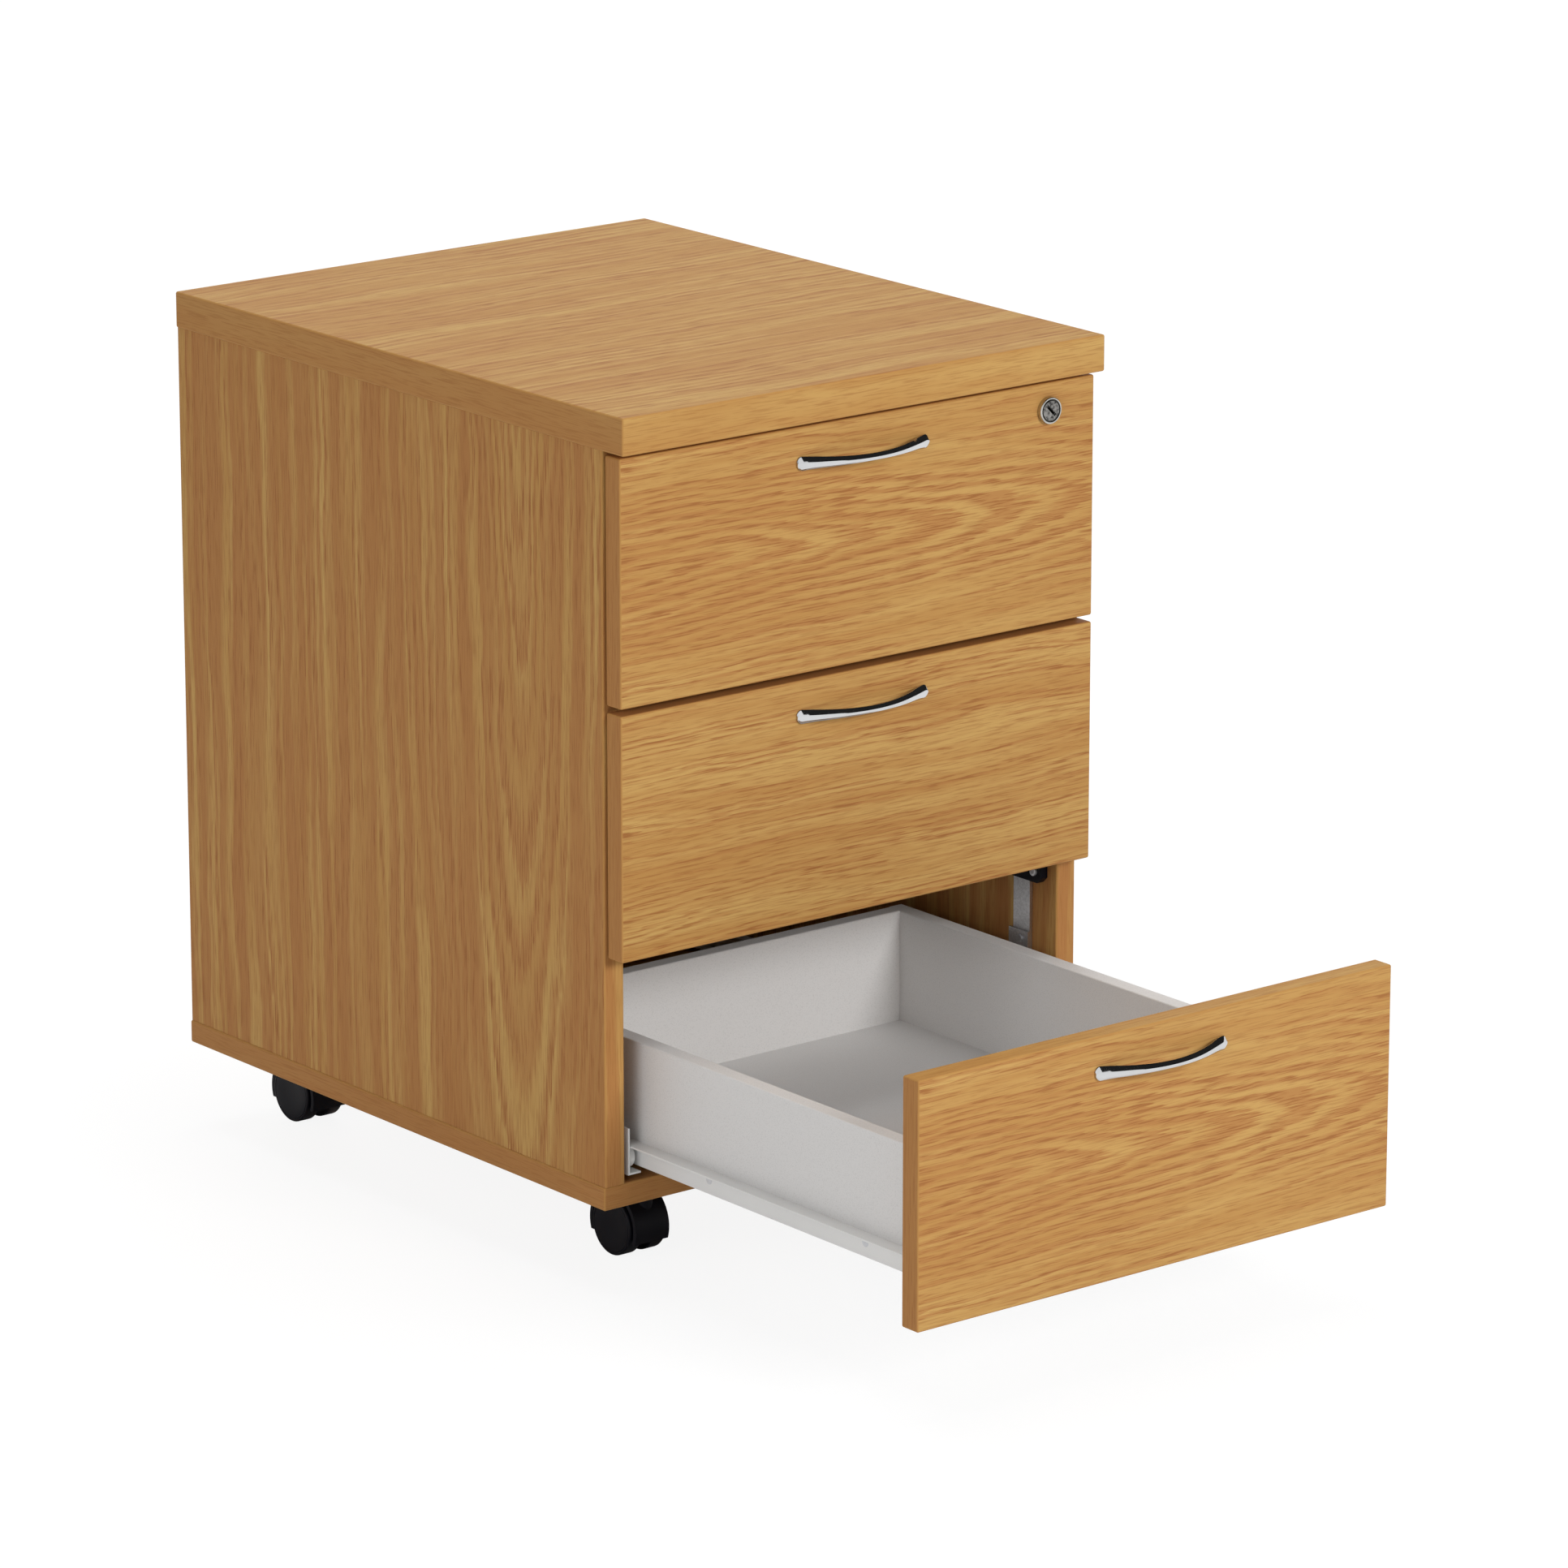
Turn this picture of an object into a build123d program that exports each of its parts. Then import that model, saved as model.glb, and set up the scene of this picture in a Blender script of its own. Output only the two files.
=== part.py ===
from build123d import *
import os
from math import cos, radians, sin

# Mobile desk pedestal: a board carcass with three drawers, one lock for all of them, and four castors.
# Millimetres. X runs to the right as seen from the front, Y to the back and Z up from the floor.
# The two upper drawers are modelled shut and the bottom drawer is modelled pulled out.

# Overall size
width = 404
depth = 500
height = 595
castor_height = 60

# Boards
top_thickness = 25
board = 16
side_inset = 1
edge_round = 1.5

# Drawer fronts
front_side_reveal = 3
front_gap = 4.5
front_setback = 7.2
front_clearance = 0.8
bottom_reveal = 3
top_reveal = 3
rest_open = {"top": 0, "middle": 0, "bottom": 300}
drawer_names = ("bottom", "middle", "top")

# Drawer boxes
wall_thickness = 12
wall_height = 83
wall_round = 1
box_gap = 16
box_back_gap = 13.8
rebate_width = 6
bottom_thickness = 4

# Roller runners, placed by their distance inwards from the side panel
packer_thickness = 3.5
packer_radius = 6
runner_sheet = 1.2
runner_rise = 21
channel_drop = 3.5
channel_depth = 10.2
channel_lip = 8
plate_length = 30
plate_height = 32
runner_front = 1
runner_back_gap = 18
web_height = 16.2
flange_reach = 9.3
shelf_width = 18
roller_gap = 0.3
front_roller_radius = 8.2
rear_roller_radius = 7.5
roller_width = 7.3
roller_round = 0.8
front_roller_setback = 12
rear_roller_setback = 12
pin_radius = 2.5
pin_head_radius = 3.4
pin_head = 0.7
roller_side_gap = 0.2

# Screws
screw_radius = 1.75
screw_head_radius = 3.2
screw_length = 11
cabinet_screw_front = 13
cabinet_screw_middle = 105
cabinet_screw_back = 35
plate_screw_rise = 25.5
drawer_screw_front = 70.8
drawer_screw_back = 55.2
drawer_screw_rise = 9.8
pan_head = 1.6

# Fits
fit = 0.03
turning_fit = 0.05
bar_gap = 0.4

# Bow handle
handle_length = 111
handle_drop = 24
handle_reach = 16.5
handle_bow = 14.9
handle_middle_thickness = 4.5
handle_end_growth = 8
handle_middle_height = 4.6
handle_end_height = 10.4
handle_hole_spacing = 96
handle_sections = 10
handle_screw_radius = 2
handle_screw_depth = 3
handle_head_radius = 4
handle_head = 2.2

# Lock in the top drawer
lock_from_edge = 40.5
lock_drop = 18.4
lock_flange_radius = 9
lock_flange = 3
lock_flange_round = 0.8
lock_barrel_radius = 8
lock_barrel_length = 28
plug_radius = 6
plug_proud = 0.2
keyway_width = 1.4
keyway_length = 7
keyway_depth = 4
cam_plate_radius = 9.6
cam_plate = 2
lock_pin_radius = 2.5
lock_pin_offset = 7
lock_pin_length = 13.5
lock_rest_angle = -45
slot_gap = 0.4

# Lock bar on the right side panel
bar_width = 17
bar_thickness = 2.5
bar_panel_gap = 0.3
bar_setback = 25
bar_top_drop = 13
arm_height = 19
arm_past_lock = 8.5
hook_sheet = 1.5
hook_width = 20
hook_height = 25
hook_reach = 11
hook_rise = 85.5
rivet_radius = 3
rivet_head = 1.2
guide_length = 46
guide_height = 16
guide_thickness = 6
guide_setback = 10
guide_chamfer = 4
guide_drop = 13.5
top_guide_rise = 66
guide_screw_inset = 7
catch_sheet = 1.2
catch_length = 28
catch_height = 24
catch_flange_height = 12
catch_reach = 10.5
catch_rise = 77
catch_gap = 1.8
catch_screw_inset = 8

# Castors
castor_side_inset = 72.5
castor_inset = 53.5
castor_trail = 14.5
wheel_radius = 20.5
wheel_width = 11
wheel_spacing = 9
wheel_round = 2
hood_radius = 25.2
hood_inner_radius = 22.2
hood_width = 28
hood_web = 5
hood_skirt_z = 12.2
boss_radius = 6.5
swivel_gap = 0.6
swivel_pin_radius = 4
swivel_pin_length = 17.5
plate_size = 44
plate_sheet = 2.5
plate_round = 5
castor_screw_spacing = 32
axle_radius = 3
axle_length = 26
wheel_bore_end = 2.3

# Cam fittings
cam_radius = 7.5
cam_depth = 12.5
cam_back = 34
cam_front_inset = 76
cam_rear_inset = 59
cam_bolt_radius = 3
cam_bolt_hold = 10

# Planes of the carcass and the drawers
half_width = width / 2
top_z = height - top_thickness
base_top_z = castor_height + board
side_x = half_width - side_inset
inner_x = side_x - board
carcass_back = depth / 2 - side_inset
front_face = front_setback - depth / 2
front_back = front_face + board
carcass_front = front_back + front_clearance
front_width = width - 2 * front_side_reveal
fronts_height = top_z - top_reveal - castor_height - bottom_reveal
pitch = (fronts_height + front_gap) / len(drawer_names)
front_height = pitch - front_gap
level_z = {name: castor_height + bottom_reveal + pitch * i for i, name in enumerate(drawer_names)}

# Heights within a drawer are measured from the bottom edge of its front
wall_x = inner_x - box_gap
wall_bottom = runner_rise + runner_sheet
wall_top = wall_bottom + wall_height
back_inner = carcass_back - board
box_back = back_inner - box_back_gap
channel_bottom = runner_rise - channel_drop
rear_roller_z = channel_bottom + runner_sheet + roller_gap + rear_roller_radius
channel_top = rear_roller_z + rear_roller_radius + roller_gap + runner_sheet
flange_top = runner_rise + web_height
front_roller_z = flange_top - runner_sheet - roller_gap - front_roller_radius
runner_y = carcass_front + runner_front
runner_end = back_inner - runner_back_gap
front_roller_y = runner_y + front_roller_setback
rear_roller_y = box_back - rear_roller_setback
drawer_web = box_gap - runner_sheet

# Screw and cam places along the depth
cabinet_screw_y = (runner_y + cabinet_screw_front, runner_y + cabinet_screw_middle,
                   runner_end - cabinet_screw_back)
first_drawer_screw = front_back + drawer_screw_front
last_drawer_screw = box_back - drawer_screw_back
drawer_screw_y = (first_drawer_screw, (first_drawer_screw + last_drawer_screw) / 2, last_drawer_screw)
cam_y = (carcass_front + cam_front_inset, carcass_back - cam_rear_inset)

# Lock bar places
bar_x = inner_x - bar_panel_gap
bar_front_y = carcass_front + bar_setback
guide_front_y = carcass_front + guide_setback
guide_rise = (pitch - guide_drop, 2 * pitch - guide_drop, 2 * pitch + top_guide_rise)
bar_back_y = bar_front_y + bar_width
lock_x = front_width / 2 - lock_from_edge
lock_z = front_height - lock_drop
arm_end_x = lock_x - arm_past_lock
lock_pin_x = lock_x + lock_pin_offset * cos(radians(lock_rest_angle))
lock_pin_z = lock_z + lock_pin_offset * sin(radians(lock_rest_angle))
plug_back = front_face + lock_barrel_length
bar_top = top_z - bar_top_drop
bar_bottom = level_z["bottom"] + hook_rise
hook_back_y = bar_front_y + hook_width

# The part's origin is on the floor, midway between the bottom drawer's handle and the back edge
origin_y = (front_face - rest_open["bottom"] - handle_reach + depth / 2) / 2

X_AXIS = (1, 0, 0)
Y_AXIS = (0, 1, 0)
Z_AXIS = (0, 0, 1)


def block(x0, x1, y0, y1, z0, z1):
    """Box between two opposite corners."""
    return Pos((x0 + x1) / 2, (y0 + y1) / 2, (z0 + z1) / 2) * Box(x1 - x0, y1 - y0, z1 - z0)


def rod(point, direction, radius, length):
    """Cylinder that starts at a point and runs along a direction."""
    return extrude(Plane(point, z_dir=direction) * Circle(radius), length)


def backwards(direction):
    """Opposite of a direction."""
    return tuple(-part for part in direction)


def board_panel(x0, x1, y0, y1, z0, z1, radius):
    """Board with all its edges rounded."""
    panel = block(x0, x1, y0, y1, z0, z1)
    return fillet(panel.edges(), radius)


def at_left(s0, s1, y0, y1, z0, z1):
    """Box placed by its distances inwards from the left side panel."""
    return block(s0 - inner_x, s1 - inner_x, y0, y1, z0, z1)


def flat_screw(point, direction, gap=0.0):
    """Countersunk screw through a sheet; with a gap it is the hole for that screw."""
    cone = Cone(screw_head_radius + gap, screw_radius + gap, runner_sheet,
                align=(Align.CENTER, Align.CENTER, Align.MIN))
    head = Plane(point, z_dir=direction) * cone
    return head + rod(point, direction, screw_radius + gap, screw_length + gap)


def pan_screw(point, direction, length, gap=0.0):
    """Screw with a flat round head in front of a face; with a gap it is the hole for its shank."""
    shank = rod(point, direction, screw_radius + gap, length + gap)
    if gap:
        return shank
    return shank + rod(point, backwards(direction), screw_head_radius, pan_head)


def both_sides(part):
    """A left piece and its mirror image on the right."""
    return [part, mirror(part, about=Plane.YZ)]


def lifted(parts, name):
    """Pieces of one drawer's level, moved up to it."""
    return [Pos(0, 0, level_z[name]) * part for part in parts]


# Cam fittings

def cam_places():
    """Each cam's side, Y, height of its centre and direction to the panel that it pulls in."""
    heights = ((top_z - cam_back, 1), (base_top_z + cam_back, -1))
    return [(side, y, z, up) for side in (-1, 1) for y in cam_y for z, up in heights]


def cam_disc(side, y, z, up, gap=0.0):
    """Round cam in the inner face of a side panel, with a hole for its bolt."""
    disc = rod((side * inner_x, y, z), (side, 0, 0), cam_radius + gap, cam_depth + gap)
    if gap:
        return disc
    return disc - rod((side * (inner_x + board / 2), y, z), (0, 0, up), cam_bolt_radius + fit, cam_radius)


def cam_bolt(side, y, z, up, gap=0.0):
    """Bolt from a cam's centre through the panel's end into the top or the base."""
    start = (side * (inner_x + board / 2), y, z)
    return rod(start, (0, 0, up), cam_bolt_radius + gap, cam_back + cam_bolt_hold + gap)


# Screws of the carcass

def cabinet_screws(gap=0.0):
    """Screws that hold a left cabinet runner, at one drawer's level."""
    web_face = packer_thickness + runner_sheet - inner_x
    heights = (channel_bottom + plate_screw_rise, rear_roller_z, rear_roller_z)
    places = [(web_face, y, z) for y, z in zip(cabinet_screw_y, heights)]
    return [flat_screw(place, (-1, 0, 0), gap) for place in places]


def guide_screws(gap=0.0):
    """Screws of the lock bar guides."""
    ends = (guide_front_y + guide_screw_inset, guide_front_y + guide_length - guide_screw_inset)
    places = [(inner_x - guide_thickness, y, level_z["bottom"] + z) for y in ends for z in guide_rise]
    return [pan_screw(place, X_AXIS, guide_thickness + screw_length, gap) for place in places]


def castor_places():
    """Where the four castors' swivel pins stand."""
    x = half_width - castor_side_inset
    front = carcass_front + castor_inset
    back = depth / 2 - castor_inset
    return {"front_left": (-x, front), "front_right": (x, front),
            "back_left": (-x, back), "back_right": (x, back)}


def plate_screws(gap=0.0):
    """Four screws under a castor plate, measured from its swivel axis."""
    reach = castor_screw_spacing / 2
    z = castor_height - plate_sheet
    corners = [(x, y, z) for x in (-reach, reach) for y in (-reach, reach)]
    return [pan_screw(corner, Z_AXIS, plate_sheet + screw_length, gap) for corner in corners]


def castor_screws(gap=0.0):
    """The screws of all the castor plates."""
    screws = plate_screws(gap)
    return [Pos(x, y, 0) * screw for x, y in castor_places().values() for screw in screws]


# Carcass

def top_panel():
    panel = board_panel(-half_width, half_width, -depth / 2, depth / 2, top_z, height, edge_round)
    return panel - [cam_bolt(*place, fit) for place in cam_places()]


def base_panel():
    panel = board_panel(-half_width, half_width, carcass_front, depth / 2,
                        castor_height, base_top_z, edge_round)
    return panel - [cam_bolt(*place, fit) for place in cam_places()] - castor_screws(fit)


def side_panel(side):
    """Side panel with its front edges rounded and its bores."""
    panel = block(inner_x, side_x, carcass_front, carcass_back, base_top_z, top_z)
    panel = fillet(panel.edges().filter_by(Axis.Z).group_by(Axis.Y)[0], edge_round)
    runner_holes = [hole for name in drawer_names for hole in lifted(cabinet_screws(fit), name)]
    panel = panel - [mirror(hole, about=Plane.YZ) for hole in runner_holes]
    if side < 0:
        panel = mirror(panel, about=Plane.YZ)
    else:
        panel = panel - guide_screws(fit)
    places = [place for place in cam_places() if place[0] == side]
    return panel - [cam_disc(*place, fit) for place in places] - [cam_bolt(*place, fit) for place in places]


def back_panel():
    return block(-inner_x, inner_x, back_inner, carcass_back, base_top_z, top_z)


# Runners

def cabinet_runner():
    """Left channel with a tall front plate, and its riveted roller pin."""
    web = packer_thickness + runner_sheet
    bottom = channel_bottom
    channel = at_left(packer_thickness, web, runner_y, runner_end, bottom, channel_top)
    plate_end = runner_y + plate_length
    channel += at_left(packer_thickness, web, runner_y, plate_end, bottom, bottom + plate_height)
    floor_end = packer_thickness + channel_depth
    channel += at_left(packer_thickness, floor_end, runner_y, runner_end, bottom, bottom + runner_sheet)
    lip_end = packer_thickness + channel_lip
    lip_z = channel_top - runner_sheet
    channel += at_left(packer_thickness, lip_end, plate_end, runner_end, lip_z, channel_top)
    start = (packer_thickness - inner_x, front_roller_y, front_roller_z)
    channel = channel - rod(start, X_AXIS, pin_radius + fit, runner_sheet) - cabinet_screws(fit)
    length = runner_sheet + roller_width + 2 * roller_side_gap
    pin = rod(start, X_AXIS, pin_radius, length + pin_head)
    pin += rod((start[0] + length, start[1], start[2]), X_AXIS, pin_head_radius, pin_head)
    return [channel, pin]


def packers():
    """Round packers behind a left cabinet runner."""
    heights = (channel_bottom + plate_screw_rise, rear_roller_z, rear_roller_z)
    starts = [(-inner_x, y, z) for y, z in zip(cabinet_screw_y, heights)]
    discs = [rod(start, X_AXIS, packer_radius, packer_thickness) for start in starts]
    return [disc - hole for disc, hole in zip(discs, cabinet_screws(fit))]


def drawer_screws(gap=0.0):
    """Screws that hold a left drawer runner to the wall."""
    places = [(drawer_web - inner_x, y, runner_rise + drawer_screw_rise) for y in drawer_screw_y]
    return [flat_screw(place, X_AXIS, gap) for place in places]


def drawer_runner():
    """Left angle under the drawer wall with a running flange, and its riveted roller pin."""
    shelf_end = box_gap + shelf_width
    flange_start = drawer_web - flange_reach
    rail = at_left(drawer_web, box_gap, front_back, box_back, runner_rise, flange_top)
    rail += at_left(drawer_web, shelf_end, front_back, box_back, runner_rise, wall_bottom)
    rail += at_left(flange_start, drawer_web, front_back, box_back, flange_top - runner_sheet, flange_top)
    start = (box_gap - inner_x, rear_roller_y, rear_roller_z)
    inwards = backwards(X_AXIS)
    rail = rail - rod(start, inwards, pin_radius + fit, runner_sheet) - drawer_screws(fit)
    length = runner_sheet + roller_width + 2 * roller_side_gap
    pin = rod(start, inwards, pin_radius, length + pin_head)
    pin += rod((start[0] - length, start[1], start[2]), inwards, pin_head_radius, pin_head)
    return [rail, pin]


def roller(start_s, y, z, radius):
    """Left nylon roller with a bore for its pin."""
    start = (start_s - inner_x, y, z)
    wheel = rod(start, X_AXIS, radius, roller_width)
    wheel = fillet(wheel.edges().filter_by(GeomType.CIRCLE), roller_round)
    return wheel - rod(start, X_AXIS, pin_radius + turning_fit, roller_width)


def front_roller():
    start = packer_thickness + runner_sheet + roller_side_gap
    return roller(start, front_roller_y, front_roller_z, front_roller_radius)


def rear_roller():
    start = drawer_web - roller_side_gap - roller_width
    return roller(start, rear_roller_y, rear_roller_z, rear_roller_radius)


# Drawers, each measured from the bottom edge of its front

def handle_z():
    return front_height - handle_drop


def handle_screws(gap=0.0):
    """Two screws from inside the drawer into the handle's ends."""
    reach = handle_hole_spacing / 2
    length = board + handle_screw_depth
    places = [(x, front_back, handle_z()) for x in (-reach, reach)]
    shanks = [rod(place, (0, -1, 0), handle_screw_radius + gap, length + gap) for place in places]
    if gap:
        return shanks
    heads = [rod(place, Y_AXIS, handle_head_radius, handle_head) for place in places]
    return [shank + head for shank, head in zip(shanks, heads)]


def handle_section(share):
    """Cross-section of the bow at a share of its half length from the middle."""
    outer = handle_reach - handle_bow * share ** 2
    thickness = handle_middle_thickness + handle_end_growth * share ** 4
    tall = handle_middle_height + (handle_end_height - handle_middle_height) * share ** 2
    centre = (share * handle_length / 2, front_face - outer + thickness / 2, handle_z())
    return Plane(centre, x_dir=Y_AXIS, z_dir=X_AXIS) * Ellipse(thickness / 2, tall / 2)


def handle():
    """Bow that swells towards its rounded ends, which lie flat on the front."""
    shares = [2 * i / handle_sections - 1 for i in range(handle_sections + 1)]
    bow = loft([handle_section(share) for share in shares])
    outline = Plane((0, front_face, handle_z()), x_dir=X_AXIS, z_dir=(0, -1, 0))
    bow = bow & extrude(outline * SlotOverall(handle_length, handle_end_height), handle_reach)
    return bow - handle_screws(fit)


def drawer_front(name):
    half = front_width / 2
    panel = board_panel(-half, half, front_face, front_back, 0, front_height, edge_round)
    panel = panel - handle_screws(fit)
    if name == "top":
        panel = panel - rod((lock_x, front_face, lock_z), Y_AXIS, lock_barrel_radius + fit, board)
    return panel


def side_wall():
    """Left drawer wall with a rebate for the bottom board."""
    inner = box_gap + wall_thickness
    wall = at_left(box_gap, inner, front_back, box_back, wall_bottom, wall_top)
    wall = fillet(wall.edges().filter_by(Axis.Y).group_by(Axis.Z)[-1], wall_round)
    rebate_end = box_back - wall_thickness + rebate_width
    rebate_top = wall_bottom + bottom_thickness
    rebate = at_left(inner - rebate_width, inner, front_back, rebate_end, wall_bottom, rebate_top)
    return wall - rebate - drawer_screws(fit)


def back_wall():
    """Wall between the side walls at the back of the drawer, with the same rebate."""
    half = wall_x - wall_thickness
    front = box_back - wall_thickness
    wall = block(-half, half, front, box_back, wall_bottom, wall_top)
    wall = fillet(wall.edges().filter_by(Axis.X).group_by(Axis.Z)[-1], wall_round)
    return wall - block(-half, half, front, front + rebate_width, wall_bottom, wall_bottom + bottom_thickness)


def bottom_board():
    half = wall_x - wall_thickness + rebate_width
    end = box_back - wall_thickness + rebate_width
    return block(-half, half, front_back, end, wall_bottom, wall_bottom + bottom_thickness)


def catch_screws(gap=0.0):
    """Two screws that hold the catch to the right wall."""
    start = hook_back_y + catch_gap
    top = catch_rise + catch_height - catch_screw_inset
    places = [(start + catch_screw_inset, catch_rise + catch_screw_inset),
              (start + catch_length - catch_screw_inset, top)]
    face = wall_x + catch_sheet
    return [pan_screw((face, y, z), (-1, 0, 0), wall_thickness - pan_head, gap) for y, z in places]


def lock_catch():
    """Angle on the right wall, with a flange that the raised hook stands in front of."""
    front = hook_back_y + catch_gap
    top = catch_rise + catch_height
    plate = block(wall_x, wall_x + catch_sheet, front, front + catch_length, catch_rise, top)
    flange_z = top - catch_flange_height
    plate += block(wall_x, wall_x + catch_reach, front, front + catch_sheet, flange_z, top)
    return plate - catch_screws(fit)


# Lock

def lock_housing():
    """Round flange on the front and a barrel through it."""
    barrel = rod((lock_x, front_face, lock_z), Y_AXIS, lock_barrel_radius, lock_barrel_length)
    flange = rod((lock_x, front_face, lock_z), (0, -1, 0), lock_flange_radius, lock_flange)
    rim = flange.edges().filter_by(GeomType.CIRCLE).sort_by(Axis.Y)[0]
    body = fillet(rim, lock_flange_round) + barrel
    start = (lock_x, front_face - lock_flange, lock_z)
    return body - rod(start, Y_AXIS, plug_radius + turning_fit, lock_flange + lock_barrel_length)


def lock_plug():
    """Turning plug with a keyway, a round plate behind the barrel and an eccentric pin."""
    front = front_face - lock_flange - plug_proud
    plate_y = plug_back + turning_fit
    plug = rod((lock_x, front, lock_z), Y_AXIS, plug_radius, plate_y - front)
    plug += rod((lock_x, plate_y, lock_z), Y_AXIS, cam_plate_radius, cam_plate)
    plug += rod((lock_pin_x, plate_y + cam_plate, lock_pin_z), Y_AXIS, lock_pin_radius, lock_pin_length)
    half = keyway_length / 2
    slot = block(-half, half, 0, keyway_depth, -keyway_width / 2, keyway_width / 2)
    return plug - Pos(lock_x, front, lock_z) * Rot(0, -lock_rest_angle, 0) * slot


def lock_bar():
    """Flat bar with an arm that takes the lock's pin, and a riveted hook for each drawer."""
    back = bar_x - bar_thickness
    bar = block(back, bar_x, bar_front_y, bar_back_y, bar_bottom, bar_top)
    bar += block(arm_end_x, bar_x, bar_front_y, bar_front_y + bar_thickness, bar_top - arm_height, bar_top)
    half_slot = lock_pin_radius + slot_gap
    pin_z = level_z["top"] + lock_pin_z
    slot = block(lock_pin_x, lock_x + lock_pin_offset, bar_front_y, bar_front_y + bar_thickness,
                 pin_z - half_slot, pin_z + half_slot)
    for x in (lock_pin_x, lock_x + lock_pin_offset):
        slot += rod((x, bar_front_y, pin_z), Y_AXIS, half_slot, bar_thickness)
    solids = [bar - slot]
    for name in drawer_names:
        bottom = level_z[name] + hook_rise
        hook = block(back - hook_sheet, back, bar_front_y, hook_back_y, bottom, bottom + hook_height)
        hook += block(inner_x - hook_reach, back, bar_front_y, hook_back_y, bottom, bottom + hook_sheet)
        rivet_z = bottom + hook_height - 2 * rivet_radius
        rivet_start = (back - hook_sheet, bar_front_y + bar_width / 2, rivet_z)
        solids += [hook, rod(rivet_start, (-1, 0, 0), rivet_radius, rivet_head)]
    return solids


def bar_guides():
    """Plastic bridges that hold the lock bar against the side panel."""
    guides = []
    for rise in guide_rise:
        z = level_z["bottom"] + rise
        guide = block(inner_x - guide_thickness, inner_x, guide_front_y, guide_front_y + guide_length,
                      z - guide_height / 2, z + guide_height / 2)
        guide = chamfer(guide.edges().filter_by(Axis.X), guide_chamfer)
        channel_x = bar_x - bar_thickness - bar_gap
        guide = guide - block(channel_x, inner_x, bar_front_y - bar_gap, bar_back_y + bar_gap,
                              z - guide_height, z + guide_height)
        guides.append(guide - guide_screws(fit))
    return guides


# Castors, each measured from its swivel axis

def castor_plate():
    """Square plate under the base with the swivel pin."""
    bottom = castor_height - plate_sheet
    plate = extrude(Pos(0, 0, bottom) * RectangleRounded(plate_size, plate_size, plate_round), plate_sheet)
    plate = plate - plate_screws(fit)
    return plate + rod((0, 0, bottom), (0, 0, -1), swivel_pin_radius, swivel_pin_length)


def castor_hood():
    """Hood round the two wheels with a swivel boss and a web that holds the axle."""
    half = hood_width / 2
    top = castor_height - plate_sheet - swivel_gap
    hood = rod((-half, castor_trail, wheel_radius), X_AXIS, hood_radius, hood_width)
    hood += rod((0, 0, wheel_radius), Z_AXIS, boss_radius, top - wheel_radius)
    for side in (-1, 1):
        start = (side * hood_web / 2, castor_trail, wheel_radius)
        hood = hood - rod(start, (side, 0, 0), hood_inner_radius, half)
    hood = hood - block(-half, half, castor_trail - hood_radius, castor_trail + hood_radius,
                        -hood_radius, hood_skirt_z)
    pin_end = castor_height - plate_sheet - swivel_pin_length
    hood = hood - rod((0, 0, pin_end - swivel_gap), Z_AXIS, swivel_pin_radius + turning_fit, castor_height)
    axle_start = (-axle_length / 2, castor_trail, wheel_radius)
    hood = hood - rod(axle_start, X_AXIS, axle_radius + fit, axle_length)
    return [hood, rod(axle_start, X_AXIS, axle_radius, axle_length)]


def castor_wheel(side):
    """Wheel with rounded edges, closed outside, with a blind bore for the axle."""
    start = (side * wheel_spacing / 2, castor_trail, wheel_radius)
    wheel = rod(start, (side, 0, 0), wheel_radius, wheel_width)
    wheel = fillet(wheel.edges().filter_by(GeomType.CIRCLE), wheel_round)
    return wheel - rod(start, (side, 0, 0), axle_radius + turning_fit, wheel_width - wheel_bore_end)


# Files

def write(name, solids, x=0, y=0, z=0):
    """Write one named piece, or several alike, about the part's origin."""
    place = Pos(x, y - origin_y, z)
    moved = [place * solid for solid in solids]
    shape = moved[0] if len(moved) == 1 else Compound(children=moved)
    export_step(shape, os.path.join("parts", name + ".step"))


def write_carcass():
    write("top_panel", [top_panel()])
    write("base_panel", [base_panel()])
    write("left_side_panel", [side_panel(-1)])
    write("right_side_panel", [side_panel(1)])
    write("back_panel", [back_panel()])
    fasteners = [cam_disc(*place) for place in cam_places()] + [cam_bolt(*place) for place in cam_places()]
    pairs = [solid for screw in cabinet_screws() for solid in both_sides(screw)]
    packs = [solid for packer in packers() for solid in both_sides(packer)]
    runners = [solid for piece in cabinet_runner() for solid in both_sides(piece)]
    for name in drawer_names:
        fasteners += lifted(pairs, name)
        write(name + "_cabinet_runners", runners, z=level_z[name])
    write("runner_packers", [packer for name in drawer_names for packer in lifted(packs, name)])
    write("carcass_fasteners", fasteners + guide_screws() + castor_screws())


def write_drawers():
    wall = side_wall()
    pieces = {
        "left_wall": [wall],
        "right_wall": [mirror(wall, about=Plane.YZ) - catch_screws(fit)],
        "back_wall": [back_wall()],
        "bottom_board": [bottom_board()],
        "handle": [handle()],
        "runners": [solid for piece in drawer_runner() for solid in both_sides(piece)],
        "lock_catch": [lock_catch()],
        "rear_rollers": both_sides(rear_roller()),
        "screws": handle_screws() + catch_screws()
        + [solid for screw in drawer_screws() for solid in both_sides(screw)],
    }
    front_rollers = both_sides(front_roller())
    for name in drawer_names:
        for piece, solids in pieces.items():
            write(name + "_" + piece, solids, y=-rest_open[name], z=level_z[name])
        write(name + "_front", [drawer_front(name)], y=-rest_open[name], z=level_z[name])
        write(name + "_front_rollers", front_rollers, z=level_z[name])


def write_lock():
    write("lock_housing", [lock_housing()], y=-rest_open["top"], z=level_z["top"])
    write("lock_plug", [lock_plug()], y=-rest_open["top"], z=level_z["top"])
    write("lock_bar", lock_bar())
    write("lock_bar_guides", bar_guides())


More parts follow.
